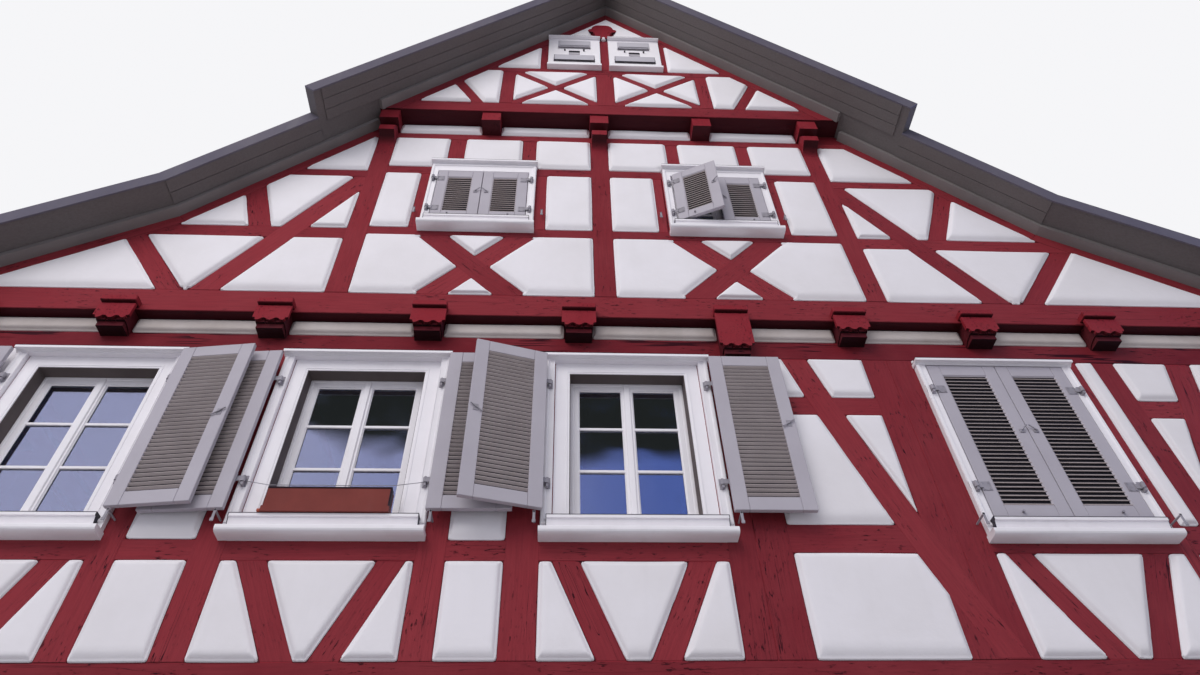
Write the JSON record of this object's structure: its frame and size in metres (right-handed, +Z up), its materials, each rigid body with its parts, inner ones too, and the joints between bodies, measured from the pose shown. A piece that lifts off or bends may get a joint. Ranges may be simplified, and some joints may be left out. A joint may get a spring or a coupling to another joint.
{
  "type": "half timbered house",
  "caption": "Gabled half timbered house with jettied upper storeys, plaster panels, louvred shutters, carved beam ends and a kicked roof with stepped verges",
  "frame": {"origin": "at ground level under the middle of the house", "axes": "+Z up, -Y the street front, +X to the right as seen from the street"},
  "size_m": [11.7, 11.15, 12.8474],
  "materials": {
    "red_timber": "Oxblood red paint on old hewn oak, with checks and tenon marks",
    "white_plaster": "White painted plaster, softly pillowed with rounded edges",
    "render": "Painted lime render on masonry",
    "plinth_stone": "Dressed sandstone",
    "door_wood": "Painted oak",
    "floor_boards": "Plain boards",
    "roof_tile": "Weathered flat clay tiles",
    "verge_metal": "Grey coated sheet metal edge",
    "soffit_paint": "Grey paint",
    "window_paint": "Off white paint",
    "glass": "Clear window glass",
    "iron": "Grey painted iron",
    "planter_clay": "Red brown clay",
    "shutter_paint": "Pale grey paint, darker slats"
  },
  "bodies": {
    "root": {"plinth": "plinth_stone", "ground_floor": "plinth_stone", "ground_wall_front": "render", "ground_wall_back": "render", "ground_wall_left": "render", "ground_wall_right": "render", "entrance_door": "door_wood", "first_floor": "floor_boards", "attic_floor": "floor_boards", "loft_floor": "floor_boards", "first_frame_front": "red_timber", "first_frame_back": "red_timber", "first_frame_left": "red_timber", "first_frame_right": "red_timber", "first_infill_front": "white_plaster", "first_infill_back": "white_plaster", "first_infill_left": "white_plaster", "first_infill_right": "white_plaster", "gable_frame_front": "red_timber", "gable_frame_back": "red_timber", "gable_infill_front": "white_plaster", "gable_infill_back": "white_plaster", "lower_beams": "red_timber", "upper_beams": "red_timber", "beam_consoles": "red_timber", "roof_left": "roof_tile", "roof_right": "roof_tile", "ridge_cap": "roof_tile", "verge_boards": "verge_metal", "soffit_fillets": "soffit_paint", "casings_front": "window_paint", "casing_first_b": "window_paint", "casings_back": "window_paint", "casings_left": "window_paint", "casings_right": "window_paint", "window_ledges": "window_paint", "sashes_front": "window_paint", "sashes_back": "window_paint", "sashes_left": "window_paint", "sashes_right": "window_paint", "window_glass": "glass", "top_lights": "window_paint", "hinge_pins": "iron", "flower_box": "planter_clay", "shutter_first_b_left": "shutter_paint", "shutter_first_b_right": "shutter_paint"},
    "shutter_first_a_left": {"shutter_first_a_left": "shutter_paint"},
    "shutter_first_a_right": {"shutter_first_a_right": "shutter_paint"},
    "shutter_first_c_left": {"shutter_first_c_left": "shutter_paint"},
    "shutter_first_c_right": {"shutter_first_c_right": "shutter_paint"},
    "shutter_first_d_left": {"shutter_first_d_left": "shutter_paint"},
    "shutter_first_d_right": {"shutter_first_d_right": "shutter_paint"},
    "shutter_gable_a_left": {"shutter_gable_a_left": "shutter_paint"},
    "shutter_gable_a_right": {"shutter_gable_a_right": "shutter_paint"},
    "shutter_gable_b_left": {"shutter_gable_b_left": "shutter_paint"},
    "shutter_gable_b_right": {"shutter_gable_b_right": "shutter_paint"}
  },
  "joints": [
    {"name": "shutter_first_a_left_hinge", "type": "hinge", "parent": "root", "child": "shutter_first_a_left", "pos_m": [-4.64, -4.87, 5.345], "axis": [0, 0, -1], "range_deg": [-180, 0]},
    {"name": "shutter_first_a_right_hinge", "type": "hinge", "parent": "root", "child": "shutter_first_a_right", "pos_m": [-3.44, -4.87, 5.345], "axis": [0, 0, 1], "range_deg": [-173.4, 0]},
    {"name": "shutter_first_c_left_hinge", "type": "hinge", "parent": "root", "child": "shutter_first_c_left", "pos_m": [-0.6, -4.87, 5.345], "axis": [0, 0, -1], "range_deg": [-165, 0]},
    {"name": "shutter_first_c_right_hinge", "type": "hinge", "parent": "root", "child": "shutter_first_c_right", "pos_m": [0.6, -4.87, 5.345], "axis": [0, 0, 1], "range_deg": [-180, 0]},
    {"name": "shutter_first_d_left_hinge", "type": "hinge", "parent": "root", "child": "shutter_first_d_left", "pos_m": [2.38, -4.87, 5.345], "axis": [0, 0, -1], "range_deg": [0, 180]},
    {"name": "shutter_first_d_right_hinge", "type": "hinge", "parent": "root", "child": "shutter_first_d_right", "pos_m": [3.58, -4.87, 5.345], "axis": [0, 0, 1], "range_deg": [0, 180]},
    {"name": "shutter_gable_a_left_hinge", "type": "hinge", "parent": "root", "child": "shutter_gable_a_left", "pos_m": [-1.825, -4.973, 8.275], "axis": [0, 0, -1], "range_deg": [0, 180]},
    {"name": "shutter_gable_a_right_hinge", "type": "hinge", "parent": "root", "child": "shutter_gable_a_right", "pos_m": [-0.845, -4.973, 8.275], "axis": [0, 0, 1], "range_deg": [0, 180]},
    {"name": "shutter_gable_b_left_hinge", "type": "hinge", "parent": "root", "child": "shutter_gable_b_left", "pos_m": [0.533, -4.973, 8.275], "axis": [0, 0, -1], "range_deg": [-24, 156]},
    {"name": "shutter_gable_b_right_hinge", "type": "hinge", "parent": "root", "child": "shutter_gable_b_right", "pos_m": [1.513, -4.973, 8.275], "axis": [0, 0, 1], "range_deg": [0, 180]}
  ]
}
